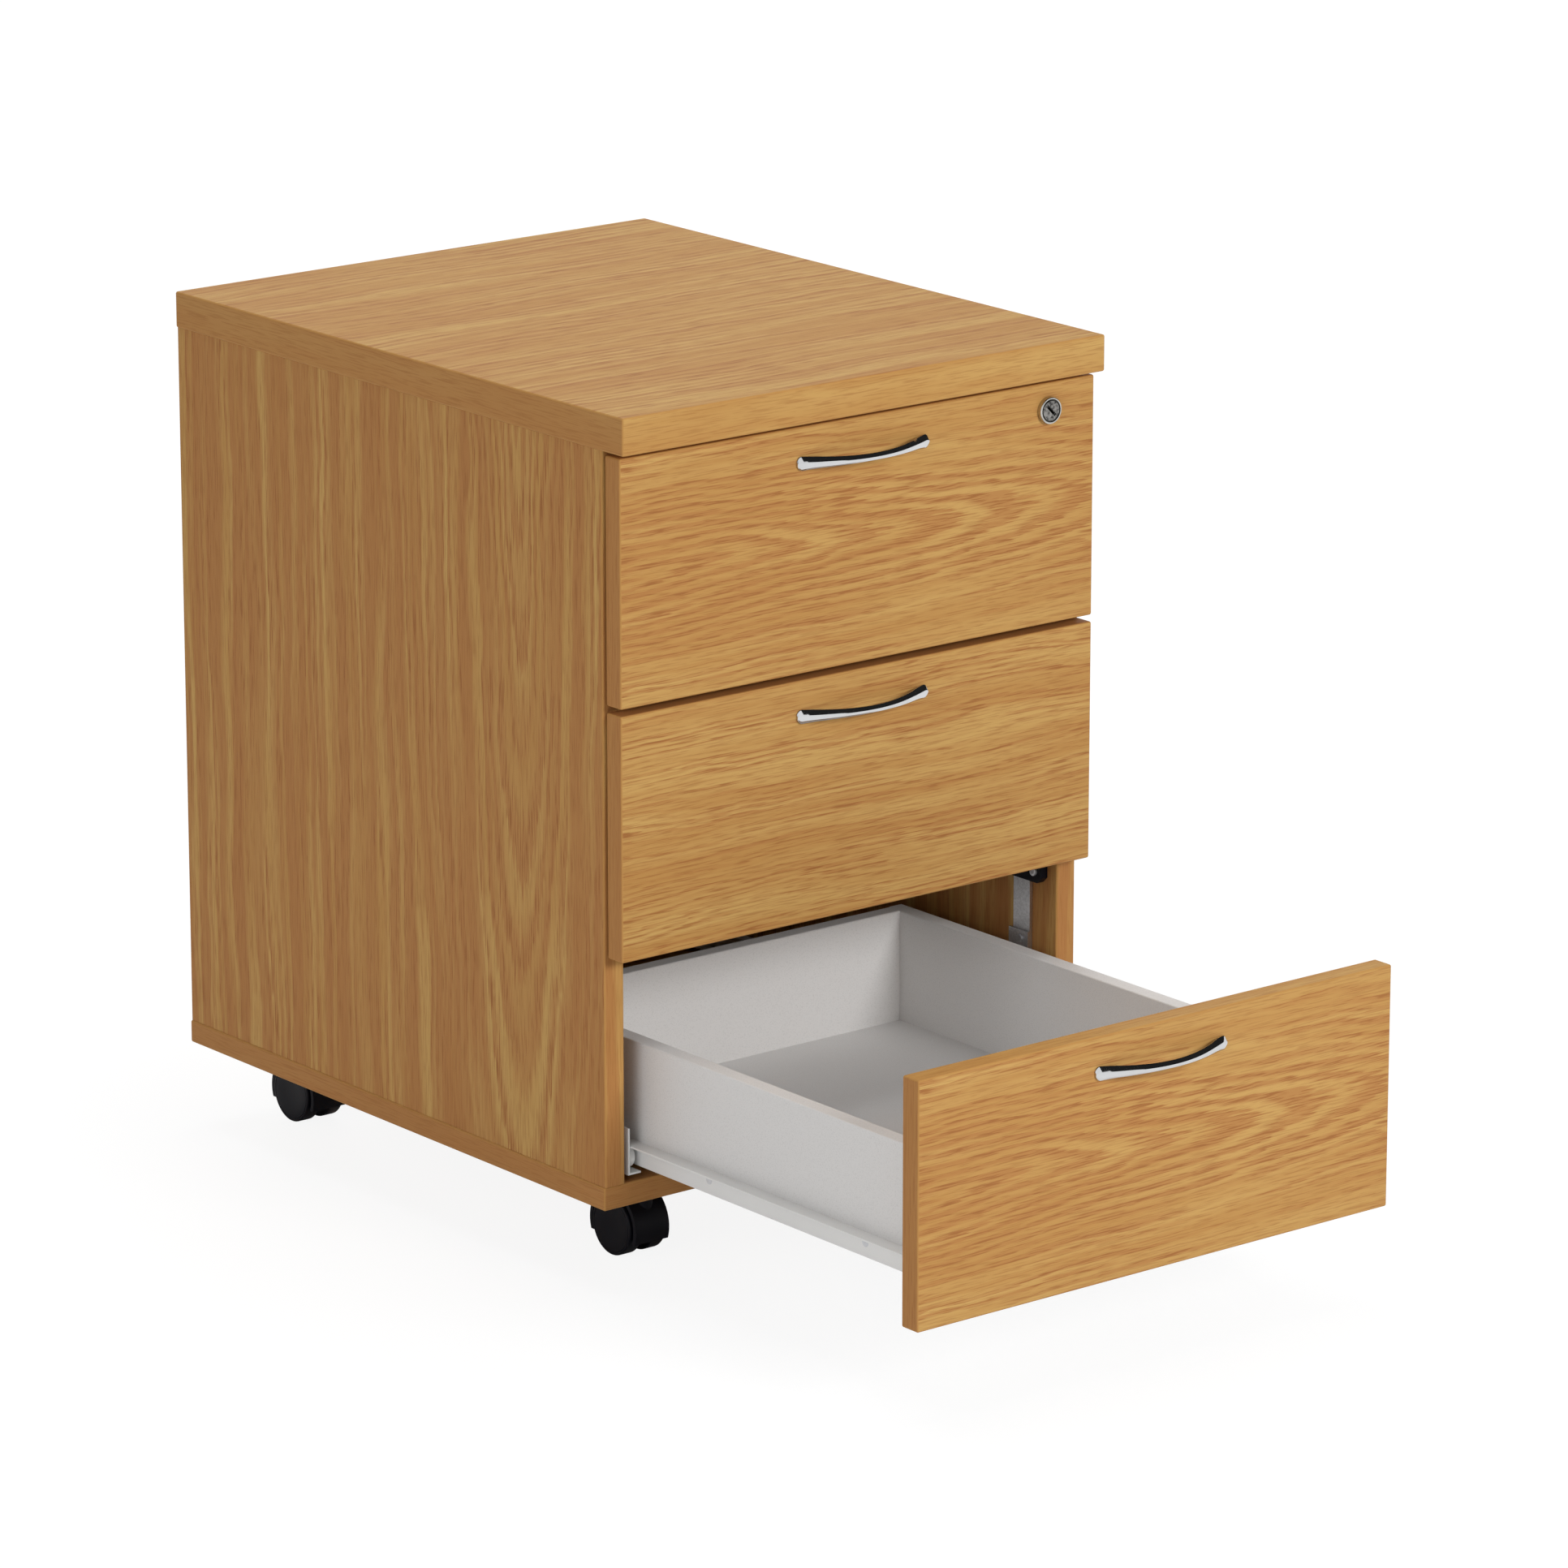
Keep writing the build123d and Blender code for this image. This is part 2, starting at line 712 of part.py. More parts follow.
def write_castors():
    plate = castor_plate()
    write("castor_plates", [Pos(x, y, 0) * plate for x, y in castor_places().values()])
    hood = castor_hood()
    for name, (x, y) in castor_places().items():
        write(name + "_castor_hood", hood, x, y)
        write(name + "_wheel_a", [castor_wheel(-1)], x, y)
        write(name + "_wheel_b", [castor_wheel(1)], x, y)


os.makedirs("parts", exist_ok=True)
write_carcass()
write_drawers()
write_lock()
write_castors()
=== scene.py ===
import math
from typing import NamedTuple

import bmesh
import bpy
from bpy.props import FloatProperty, FloatVectorProperty, IntProperty, PointerProperty
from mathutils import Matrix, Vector


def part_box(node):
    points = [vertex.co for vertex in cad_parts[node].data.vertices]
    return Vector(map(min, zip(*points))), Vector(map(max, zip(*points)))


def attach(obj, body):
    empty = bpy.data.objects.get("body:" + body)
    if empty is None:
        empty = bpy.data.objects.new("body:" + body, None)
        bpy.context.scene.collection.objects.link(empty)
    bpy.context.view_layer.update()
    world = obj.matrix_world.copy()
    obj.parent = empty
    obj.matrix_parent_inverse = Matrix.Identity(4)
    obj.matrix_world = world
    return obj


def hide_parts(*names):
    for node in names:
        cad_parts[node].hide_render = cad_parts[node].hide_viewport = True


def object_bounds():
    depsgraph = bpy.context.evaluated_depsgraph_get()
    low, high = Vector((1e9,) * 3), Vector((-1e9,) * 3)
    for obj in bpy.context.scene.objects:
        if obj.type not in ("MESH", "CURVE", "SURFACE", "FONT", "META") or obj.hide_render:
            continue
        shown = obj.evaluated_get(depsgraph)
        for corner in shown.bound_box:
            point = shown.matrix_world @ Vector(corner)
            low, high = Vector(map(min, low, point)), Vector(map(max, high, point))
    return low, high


bl_info = {
    "name": "Three-drawer pedestal",
    "version": (1, 0, 0),
    "blender": (4, 5, 0),
    "location": "View3D > Sidebar > Pedestal",
    "description": "Oak boards, chrome handles, lock, runners and castors of a mobile desk pedestal",
    "category": "Object",
}

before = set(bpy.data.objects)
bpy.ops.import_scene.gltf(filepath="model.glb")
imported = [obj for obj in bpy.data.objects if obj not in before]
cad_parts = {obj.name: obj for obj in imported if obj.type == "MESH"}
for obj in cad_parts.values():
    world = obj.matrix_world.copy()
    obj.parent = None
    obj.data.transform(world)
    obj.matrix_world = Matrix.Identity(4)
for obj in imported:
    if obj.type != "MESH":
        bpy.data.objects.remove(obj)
CAD_LOW, CAD_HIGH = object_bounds()

DRAWERS = ("bottom", "middle", "top")
CASTORS = ("front_left", "front_right", "back_left", "back_right")
HANDLE_LOW, HANDLE_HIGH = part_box("top_handle")
HANDLE_SIZE = HANDLE_HIGH - HANDLE_LOW

QUARTER_TURN = math.pi / 2
ALONG_X = (0, QUARTER_TURN, 0)  # turns a cylinder's axis, or a plane's normal, to X
ALONG_Y = (QUARTER_TURN, 0, 0)  # and to Y
SQUARE = 0.999  # least part of a normal along an axis on a face that is square to it


# Settings

def colour(name, description, default):
    """A colour that the user can change."""
    return FloatVectorProperty(name=name, description=description, default=default, size=3,
                               subtype="COLOR", min=0.0, max=1.0)


def length(name, description, default):
    """A size in metres that the user can change."""
    return FloatProperty(name=name, description=description, default=default, min=0.0,
                         subtype="DISTANCE", unit="LENGTH", precision=5)


def fraction(name, description, default, low, high):
    """A part of a whole that the user can change."""
    return FloatProperty(name=name, description=description, default=default, min=low, max=high,
                         subtype="FACTOR")


def power(name, description, default):
    """A lamp's power that the user can change."""
    return FloatProperty(name=name, description=description, default=default, min=0.0, unit="POWER")


class OakSettings(bpy.types.PropertyGroup):
    """Colours of the oak-effect boards."""
    pale: colour("Pale wood", "Colour of the lightest wood", (0.570, 0.352, 0.118))
    warm: colour("Warm wood", "Colour of the darker bands", (0.490, 0.262, 0.080))
    streak: colour("Streaks", "Colour of the reddish streaks", (0.425, 0.190, 0.062))
    pore: colour("Pores", "Colour of the fine pores", (0.320, 0.128, 0.040))
    edge: colour("Rounded edges", "Colour of the rounded edge bands", (0.470, 0.245, 0.075))


class FittingSettings(bpy.types.PropertyGroup):
    """Colours of the drawer boxes and fittings."""
    foil: colour("Drawer foil", "Colour of the drawer walls and bottoms", (0.760, 0.750, 0.740))
    coat: colour("White coat", "Colour of the coated runners", (0.800, 0.800, 0.790))
    chrome: colour("Chrome", "Colour of the handles", (0.640, 0.645, 0.655))
    nickel: colour("Nickel", "Colour of the lock", (0.560, 0.545, 0.510))
    # The lock face's colour is brought down as painted shade, so that the face looks dark whatever it reflects
    shaded_face_nickel: colour("Shaded nickel", "Colour of the lock's face, darkened as painted shade", (0.300, 0.290, 0.275))
    zinc: colour("Zinc", "Colour of the plated steel", (0.640, 0.655, 0.680))
    black: colour("Black nylon", "Colour of the castors and bar guides", (0.0030, 0.0031, 0.0060))
    white: colour("White nylon", "Colour of the rollers", (0.780, 0.780, 0.765))


class HandleSettings(bpy.types.PropertyGroup):
    """Shape of the bow handles."""
    span: length("Span", "Length of the handle from tip to tip", 0.1110)
    bow: length("Bow", "How far the middle stands out beyond the ends", 0.0149)
    middle_thickness: length("Middle thickness", "Thickness of the bow at its middle", 0.0045)
    middle_height: length("Middle height", "Height of the bow at its middle", 0.0049)
    end_height: length("End height", "Height of the rounded pads at the ends", 0.0100)
    overlap: length("Overlap", "How far the pads reach past the drawer front before they are cut flat", 0.0003)
    sections: IntProperty(name="Sections", description="Sections along the bow", default=48, min=8, max=200)
    crown: fraction("Crown", "Slope of the upper side as a share of the section", 0.90, 0.1, 0.98)
    heel: fraction("Heel", "Slope of the lower side as a share of the section", 0.30, 0.1, 0.98)
    ridge: fraction("Ridge", "Rounding of the ridges as a share of the section", 0.13, 0.01, 0.4)


class CastorSettings(bpy.types.PropertyGroup):
    """Shape of the castor wheels."""
    tread_round: length("Tread rounding", "Rounding between the tread and the faces", 0.0011)
    groove_inset: length("Groove inset", "Distance from the rim to the ring groove", 0.0007)
    groove_depth: length("Groove depth", "Depth of the ring groove", 0.0003)
    dish: length("Dish", "How far the middle of the face is sunk", 0.0005)
    bore_radius: length("Bore radius", "Radius of the bore for the axle", 0.00305)
    bore_depth: length("Bore depth", "Depth of the bore for the axle", 0.0087)


class LockSettings(bpy.types.PropertyGroup):
    """Shape of the lock's rim and of its plug's face."""
    rim_sheet: length("Rim sheet", "Thickness of the rim's skirt", 0.00012)
    rim_height: length("Rim height", "How far the rim stands out from the housing", 0.0007)
    rim_width: length("Rim width", "Width of the rim as seen from the front", 0.0012)
    rim_round: length("Rim rounding", "Rounding of the rim's outer edge", 0.0006)
    face_radius: length("Face radius", "Radius of the plug's face", 0.0069)
    face_height: length("Face height", "Thickness of the plug's face", 0.0005)
    face_round: length("Face rounding", "Rounding of the plug's face", 0.0003)
    slot_length: length("Slot length", "Length of the key slot", 0.0096)
    slot_width: length("Slot width", "Width of the key slot", 0.0021)
    slot_turn: FloatProperty(name="Slot turn", description="Turn of the key slot from level",
                             default=math.radians(45), subtype="ANGLE", unit="ROTATION")


class FastenerSettings(bpy.types.PropertyGroup):
    """Shape of the screw heads."""
    head_radius: length("Head radius", "Radius of a pan head", 0.0033)
    head_height: length("Head height", "Height of a pan head", 0.0020)
    cross_length: length("Cross length", "Length of the driver's cross", 0.0036)
    cross_width: length("Cross width", "Width of the driver's cross", 0.0008)
    guide_inset: length("Guide screw inset", "Distance from a guide's end to its screw", 0.0070)
    guide_height: length("Guide height", "Height of a bar guide", 0.0160)


class StageSettings(bpy.types.PropertyGroup):
    """Camera, floor and light."""
    camera_place: FloatVectorProperty(name="Camera", description="Where the camera stands", size=3,
                                      default=(-3.1437, -3.93445, 1.7000), subtype="XYZ", unit="LENGTH")
    camera_aim: FloatVectorProperty(name="Aim", description="Direction that the camera looks in", size=3,
                                    default=(0.6020, 0.7522, -0.2679), subtype="XYZ")
    lens: FloatProperty(name="Lens", description="Focal length in millimetres on a 36 mm sensor",
                        default=179.8, min=1.0, unit="CAMERA")
    key: power("Key light", "Power of the key light", 93.0)
    fill: power("Left light", "Power of the light on the left", 36.0)
    overhead: power("Overhead light", "Power of the light overhead", 45.0)
    behind: power("Back light", "Power of the light behind", 42.0)
    sky: FloatProperty(name="Surround", description="Level of the light from all round", default=0.16, min=0.0)
    floor: colour("Floor", "Colour of the floor", (0.95, 0.95, 0.95))


class PedestalSettings(bpy.types.PropertyGroup):
    """All settings of the pedestal."""
    oak: PointerProperty(type=OakSettings)
    fitting: PointerProperty(type=FittingSettings)
    handle: PointerProperty(type=HandleSettings)
    lock: PointerProperty(type=LockSettings)
    castor: PointerProperty(type=CastorSettings)
    fastener: PointerProperty(type=FastenerSettings)
    stage: PointerProperty(type=StageSettings)


# Shader expressions

class Value:
    """A node's output socket; arithmetic on it adds Math nodes."""

    def __init__(self, finish, socket):
        self.finish = finish
        self.socket = socket

    def out(self, name):
        """Another output of the same node."""
        return Value(self.finish, self.socket.node.outputs[name])

    def __add__(self, other):
        return self.finish.maths("ADD", self, other)

    def __radd__(self, other):
        return self.finish.maths("ADD", other, self)

    def __sub__(self, other):
        return self.finish.maths("SUBTRACT", self, other)

    def __rsub__(self, other):
        return self.finish.maths("SUBTRACT", other, self)

    def __mul__(self, other):
        return self.finish.maths("MULTIPLY", self, other)

    def __rmul__(self, other):
        return self.finish.maths("MULTIPLY", other, self)

    def __gt__(self, other):
        return self.finish.maths("GREATER_THAN", self, other)

    def __abs__(self):
        return self.finish.maths("ABSOLUTE", self)


class Finish:
    """A node tree that grows by expressions."""

    def __init__(self, tree):
        self.tree = tree
        self.tree.nodes.clear()

    def add(self, kind, settings=None, sockets=None, output=0):
        """Any node: its type, its settings, then the values or links of its sockets."""
        node = self.tree.nodes.new(kind)
        for name, setting in (settings or {}).items():
            setattr(node, name, setting)
        for name, value in (sockets or {}).items():
            if isinstance(value, Value):
                self.tree.links.new(value.socket, node.inputs[name])
            else:
                node.inputs[name].default_value = value
        return Value(self, node.outputs[output]) if len(node.outputs) else None

    def maths(self, operation, *values):
        return self.add("ShaderNodeMath", {"operation": operation}, dict(enumerate(values)))

    def larger(self, first, second):
        return self.maths("MAXIMUM", first, second)

    def root(self, value):
        return self.maths("SQRT", value)

    def part(self, value):
        """What is left over a whole number."""
        return self.maths("FRACT", value)

    def choose(self, first, second, share):
        """First where the share is 0 and second where it is 1."""
        return first + (second - first) * share

    def rise(self, value, low, high):
        """0 below the low value and 1 above the high one, smooth between."""
        sockets = {"Value": value, "From Min": low, "From Max": high}
        return self.add("ShaderNodeMapRange", {"interpolation_type": "SMOOTHSTEP"}, sockets)

    def place(self):
        """Object coordinates."""
        return self.add("ShaderNodeTexCoord", output="Object")

    def axes(self, vector):
        """The three parts of a vector."""
        split = self.add("ShaderNodeSeparateXYZ", None, {0: vector})
        return split.out("X"), split.out("Y"), split.out("Z")

    def point(self, x, y, z):
        return self.add("ShaderNodeCombineXYZ", None, {"X": x, "Y": y, "Z": z})

    def noise(self, vector, scale=1.0, detail=2.0, roughness=0.5):
        sockets = {"Vector": vector, "Scale": scale, "Detail": detail, "Roughness": roughness}
        return self.add("ShaderNodeTexNoise", None, sockets)

    def blend(self, first, second, share):
        """Two colours mixed by a share."""
        return self.add("ShaderNodeMix", {"data_type": "RGBA"}, {0: share, 6: first, 7: second}, 2)

    def bump(self, height, strength, distance):
        return self.add("ShaderNodeBump", None, {"Height": height, "Strength": strength, "Distance": distance})

    def rays(self):
        """1 for a ray from the camera, and 1 for a ray off gloss or through glass."""
        path = self.add("ShaderNodeLightPath", output="Is Camera Ray")
        return path, self.larger(path.out("Is Glossy Ray"), path.out("Is Transmission Ray"))

    def mix_shaders(self, first, second, share):
        return self.add("ShaderNodeMixShader", None, {0: share, 1: first, 2: second})

    def show(self, shader, output="ShaderNodeOutputMaterial"):
        """Put a shader on the tree's output."""
        self.add(output, None, {"Surface": shader})

    def surface(self, **sockets):
        """Principled surface on the material's output."""
        inputs = {name.replace("_", " "): value for name, value in sockets.items()}
        self.show(self.add("ShaderNodeBsdfPrincipled", None, inputs))


def rgba(shade):
    return (shade[0], shade[1], shade[2], 1.0)


def darker(shade, level):
    """A colour brought down to a level of itself."""
    return rgba([part * level for part in shade])


def new_finish(name):
    """An empty material and its expressions."""
    material = bpy.data.materials.new(name)
    material.use_nodes = True
    return material, Finish(material.node_tree)


# Finishes

class Figure(NamedTuple):
    """A flame in the grain: nested tongues that close along the board."""
    start: float  # where they begin along the grain, from the board's middle
    middle: float  # the flame's middle across the grain
    closing: float  # how fast they close, and to which end


class Grain(NamedTuple):
    """How the grain lies on one board."""
    axes: tuple  # axes along and across the grain and through the board
    seed: float  # place in the noise, so that boards differ
    rings: float  # rings over a metre
    red: float  # share of the streaks' colour in broad zones; larger on the boards seen in shade, partly real streaks and partly painted shade
    ends: float  # and on the board's ends
    lips: float  # and on its long edges
    figure: Figure = None


GRAIN_ALONG_X = (0, 1, 2)
GRAIN_ALONG_Z = (2, 1, 0)
GRAIN_OF_FRONT = (0, 2, 1)
GRAIN_OF_BACK = (2, 0, 1)
FRONT_FLAME = Figure(-0.19, 0.004, 0.095)
# The side panels and base take a larger share of the streaks' colour: partly their real streaks, partly painted
# shade that warms them where they are seen in shade
BOARDS = {
    "top_panel": Grain(GRAIN_ALONG_X, seed=1.0, rings=120.0, red=0.05, ends=0.6, lips=0.0),
    "base_panel": Grain(GRAIN_ALONG_X, seed=2.0, rings=170.0, red=0.90, ends=0.8, lips=0.8),
    "left_side_panel": Grain(GRAIN_ALONG_Z, seed=5.0, rings=130.0, red=0.85, ends=0.3, lips=0.2,
                             figure=Figure(0.26, -0.150, -0.105)),
    "right_side_panel": Grain(GRAIN_ALONG_Z, seed=9.0, rings=130.0, red=0.95, ends=0.3, lips=0.1,
                              figure=Figure(0.18, 0.050, -0.105)),
    "back_panel": Grain(GRAIN_OF_BACK, seed=14.0, rings=190.0, red=0.40, ends=0.3, lips=0.3),
    "bottom_front": Grain(GRAIN_OF_FRONT, seed=18.0, rings=170.0, red=0.0, ends=0.8, lips=0.1, figure=FRONT_FLAME),
    "middle_front": Grain(GRAIN_OF_FRONT, seed=22.0, rings=230.0, red=0.0, ends=0.8, lips=1.0),
    "top_front": Grain(GRAIN_OF_FRONT, seed=18.0, rings=170.0, red=0.0, ends=0.8, lips=1.0, figure=FRONT_FLAME),
}

# Noise in the oak: cells to a metre along and across the grain, and a layer of its own for each
FIBRE = (22.0, 460.0, 0.0)
DRIFT = (6.0, 14.0, 3.0)
CLOUD = (3.0, 50.0, 5.0)
STRENGTH = (6.0, 0.5, 7.0)  # its second number is cells to a ring
PORES = (38.0, 900.0, 11.0)
ZONES = (1.5, 85.0, 13.0)
NOISE_MIDDLE = 0.5
FIBRE_SLIP = 0.075  # metres that the fibre pulls the figure along the grain
DRIFT_SWAY = 0.030  # metres that the rings wander across the grain
CLOUD_RINGS = 1.2  # rings that a cloud shifts the count by

# Values between which each mark in the oak comes in
WARM_RISE = (0.30, 0.68)
STRONG_RISE = (0.40, 0.62)
ZONE_RISE = (0.36, 0.60)
PORE_RISE = (0.48, 0.62)
BAND_RISE = (0.20, 0.65)  # of a ring
BAND_FALL = (0.86, 1.00)  # of a ring
FLAME_FALL = (0.020, 0.055)  # metres from the flame's middle
EDGE_RISE = (0.02, 0.12)  # of a normal that leaves its axis

# Shares of those marks
WEAK_BAND = 0.20  # of a band where it isn't strong
LIP_FADE = 0.8  # of the bands that is left out on ends and edges
FLAME_STRENGTH = 0.18  # added to the bands' strength in the flame
FLAME_CLEARING = 0.6  # of the red zones that is left out in the flame
PLAIN_STREAK = 0.72  # of a streak's colour between the pores
PALE_PORE, DARK_PORE = 0.34, 0.76  # of the pores' colour in pale wood and in a band
EDGE_TINT = 0.7  # of the edges' colour
EDGE_FACING = 0.7  # least part of the normal along an axis on a board's end or edge


def oak_finish(name, oak, grain, centre):
    """Oak-effect board whose grain is measured from the board's centre."""
    material, f = new_finish(name)

    def cells(along, across, noise, roughness=0.5):
        spot = f.point(along * noise[0], across * noise[1], grain.seed + noise[2])
        return f.noise(spot, roughness=roughness)

    along_axis, across_axis, through_axis = grain.axes
    place = f.axes(f.place())
    facing = f.axes(f.add("ShaderNodeTexCoord", output="Normal"))
    local = [place[i] - centre[i] for i in range(3)]
    end = abs(facing[along_axis]) > EDGE_FACING
    long_edge = abs(facing[across_axis]) > EDGE_FACING
    lip = f.larger(end, long_edge)
    along = f.choose(local[along_axis], local[across_axis], end)
    side = f.choose(local[across_axis], local[through_axis], lip)

    # Rings that wander across the board and close to tongues in the flame
    fibre = cells(along, side, FIBRE) - NOISE_MIDDLE
    slid = along + fibre * FIBRE_SLIP
    drift = cells(slid, side, DRIFT) - NOISE_MIDDLE
    ring = side + drift * DRIFT_SWAY
    flame = 0.0
    if grain.figure:
        off = ring - grain.figure.middle
        reach = f.larger((slid - grain.figure.start) * grain.figure.closing, 0.0)
        ring = f.choose(f.root(off * off + reach * reach), ring, lip)
        flame = 1.0 - f.rise(abs(off), *FLAME_FALL)

    # One band to a ring, strong in places, with fine pores all over
    cloud = cells(slid, ring, CLOUD)
    growth = ring * grain.rings + cloud * CLOUD_RINGS
    year = f.part(growth)
    strong = f.rise(cells(slid, growth, STRENGTH) + flame * FLAME_STRENGTH, *STRONG_RISE)
    band = f.rise(year, *BAND_RISE) * (1.0 - f.rise(year, *BAND_FALL))
    band = band * f.choose(WEAK_BAND, 1.0, strong) * (1.0 - LIP_FADE * lip)
    dash = cells(along, side, PORES, roughness=0.6)
    lines = f.rise(dash, *PORE_RISE)

    # Colour from pale to warm wood, then streaks, pores and the rounded edges
    wood = f.blend(rgba(oak.pale), rgba(oak.warm), f.rise(cloud, *WARM_RISE))
    tone = grain.red * f.rise(cells(slid, ring, ZONES), *ZONE_RISE)
    tone = f.larger(tone * (1.0 - flame * FLAME_CLEARING), f.larger(end * grain.ends, long_edge * grain.lips))
    streak = tone + (1.0 - tone) * band * f.choose(PLAIN_STREAK, 1.0, lines)
    wood = f.blend(wood, rgba(oak.streak), streak)
    wood = f.blend(wood, rgba(oak.pore), lines * f.choose(PALE_PORE, DARK_PORE, band))
    flat = f.larger(f.larger(abs(facing[0]), abs(facing[1])), abs(facing[2]))
    wood = f.blend(wood, rgba(oak.edge), f.rise(1.0 - flat, *EDGE_RISE) * EDGE_TINT)
    relief = f.bump(1.0 - lines, strength=0.10, distance=0.0002)
    f.surface(Base_Color=wood, Roughness=0.44 + dash * 0.12, Normal=relief, Specular_IOR_Level=0.08)
    return material


def foil_finish(name, shade):
    """Pale printed foil with a fine speckle."""
    material, f = new_finish(name)
    place = f.place()
    fleck = f.noise(place, scale=1400.0, detail=2.0)
    cloud = f.noise(place, scale=14.0, detail=3.0)
    speckle = f.rise(fleck, 0.52, 0.70) * 0.8 + cloud * 0.12
    paint = f.blend(rgba(shade), darker(shade, 0.86), speckle)
    relief = f.bump(fleck, strength=0.06, distance=0.0001)
    f.surface(Base_Color=paint, Roughness=0.46 + fleck * 0.12, Normal=relief)
    return material


def coat_finish(name, shade):
    """Smooth powder coat with a slight orange peel."""
    material, f = new_finish(name)
    place = f.place()
    peel = f.noise(place, scale=520.0, detail=1.0)
    cloud = f.noise(place, scale=22.0, detail=3.0)
    paint = f.blend(rgba(shade), darker(shade, 0.92), cloud)
    relief = f.bump(peel, strength=0.08, distance=0.0002)
    f.surface(Base_Color=paint, Roughness=0.30 + cloud * 0.10, Normal=relief)
    return material


def metal_finish(name, shade, roughness, mottle, scale):
    """Plated metal whose gloss and tone vary a little."""
    material, f = new_finish(name)
    patch = f.noise(f.place(), scale=scale, detail=3.0)
    plate = f.blend(rgba(shade), darker(shade, 1.0 - mottle), f.rise(patch, 0.35, 0.70))
    f.surface(Base_Color=plate, Metallic=1.0, Roughness=roughness + patch * roughness * 0.5)
    return material


def painted_shade_finish(name, shade, front, depth):
    """Plated metal with painted shade: dark to a tenth of its colour in its recess, and bright behind a depth from
    its front.
    """
    material, f = new_finish(name)
    place = f.place()
    patch = f.noise(place, scale=220.0, detail=3.0)
    behind = f.rise(f.axes(place)[1], front + depth / 2, front + depth)
    # Painted shade: the front of the housing and plug is brought down to a tenth of its colour
    plate = f.blend(darker(shade, 0.10), rgba(shade), behind * f.choose(0.75, 1.0, patch))
    f.surface(Base_Color=plate, Metallic=1.0, Roughness=0.30 + patch * 0.12)
    return material


def spangle_finish(name, shade):
    """Galvanised steel with small crystals of differing tone and gloss."""
    material, f = new_finish(name)
    crystal = f.add("ShaderNodeTexVoronoi", None, {"Vector": f.place(), "Scale": 900.0}, "Color")
    tone = f.axes(crystal)[0]
    plate = f.blend(rgba(shade), darker(shade, 0.84), tone)
    f.surface(Base_Color=plate, Metallic=1.0, Roughness=0.34 + tone * 0.16)
    return material


def nylon_finish(name, shade, roughness):
    """Moulded nylon with a faint grain and rubbed patches."""
    material, f = new_finish(name)
    place = f.place()
    grain = f.noise(place, scale=900.0, detail=2.0)
    rub = f.noise(place, scale=60.0, detail=3.0)
    rubbed = rgba([min(1.0, part * 1.25 + 0.001) for part in shade])
    skin = f.blend(rgba(shade), rubbed, f.rise(rub, 0.45, 0.75))
    relief = f.bump(grain, strength=0.05, distance=0.0001)
    f.surface(Base_Color=skin, Roughness=roughness + rub * 0.12, Normal=relief, Specular_IOR_Level=0.16)
    return material


def dress(material, *names):
    """Give CAD nodes a finish."""
    for name in names:
        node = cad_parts[name]
        if not node.material_slots:
            node.data.materials.append(material)
        for place in node.material_slots:
            place.material = material


def dress_drawers(material, *pieces):
    """Give the like-named CAD nodes of all three drawers a finish."""
    dress(material, *[drawer + piece for drawer in DRAWERS for piece in pieces])


# Modelling steps

def start_clean():
    """Nothing selected and object mode on, ready for a new primitive."""
    if bpy.context.object and bpy.context.object.mode != "OBJECT":
        bpy.ops.object.mode_set(mode="OBJECT")
    bpy.ops.object.select_all(action="DESELECT")


def named(name):
    """Name the piece that was just added."""
    piece = bpy.context.object
    piece.name = name
    piece.data.name = name
    return piece


def settle():
    """Put the place, turn and scale of what is selected into its mesh."""
    bpy.ops.object.transform_apply(location=True, rotation=True, scale=True)


def start_disc(name, corners, radius, depth, middle, turn):
    """A cylinder at its size and place, open in edit mode."""
    start_clean()
    bpy.ops.mesh.primitive_cylinder_add(vertices=corners, radius=radius, depth=depth, location=middle, rotation=turn)
    piece = named(name)
    settle()
    bpy.ops.object.mode_set(mode="EDIT")
    return piece


def pick(piece, kind, parts, test):
    """Select the parts of the piece in edit mode that pass a test."""
    bpy.ops.mesh.select_mode(type=kind)
    bpy.ops.mesh.select_all(action="DESELECT")
    mesh = bmesh.from_edit_mesh(piece.data)
    for part in getattr(mesh, parts):
        part.select_set(test(part))
    bmesh.update_edit_mesh(piece.data)


def pick_faces(piece, test):
    """Select the faces that pass a test on their centre and normal."""
    pick(piece, "FACE", "faces", lambda face: test(face.calc_center_median(), face.normal))


def pick_edges(piece, test):
    """Select the edges that pass a test on the places of their two ends."""
    pick(piece, "EDGE", "edges", lambda edge: test([corner.co for corner in edge.verts]))


def pick_corners(piece, test):
    """Select the corners that pass a test on their place."""
    pick(piece, "VERT", "verts", lambda corner: test(corner.co))


def round_edges(offset, segments):
    bpy.ops.mesh.bevel(offset=offset, segments=segments, affect="EDGES")


def round_corners(offset, segments):
    bpy.ops.mesh.bevel(offset=offset, segments=segments, affect="VERTICES")


def draw_out(step):
    """Extrude what is selected by a step."""
    bpy.ops.mesh.extrude_region_move(TRANSFORM_OT_translate={"value": tuple(step)})


def make_active(piece):
    """Select one piece alone."""
    start_clean()
    piece.select_set(True)
    bpy.context.view_layer.objects.active = piece


def close_up(piece, sharp):
    """Leave edit mode, put the place into the mesh and smooth all but the edges sharper than an angle in degrees."""
    if piece.mode == "EDIT":
        bpy.ops.mesh.select_all(action="SELECT")
        bpy.ops.mesh.normals_make_consistent(inside=False)
    make_active(piece)
    settle()
    bpy.ops.object.shade_smooth_by_angle(angle=math.radians(sharp))


def copied(piece, name, offset):
    """A copy of a finished piece with its own mesh, moved by an offset."""
    make_active(piece)
    bpy.ops.object.duplicate(linked=False)
    copy = named(name)
    bpy.ops.transform.translate(value=tuple(offset))
    settle()
    return copy


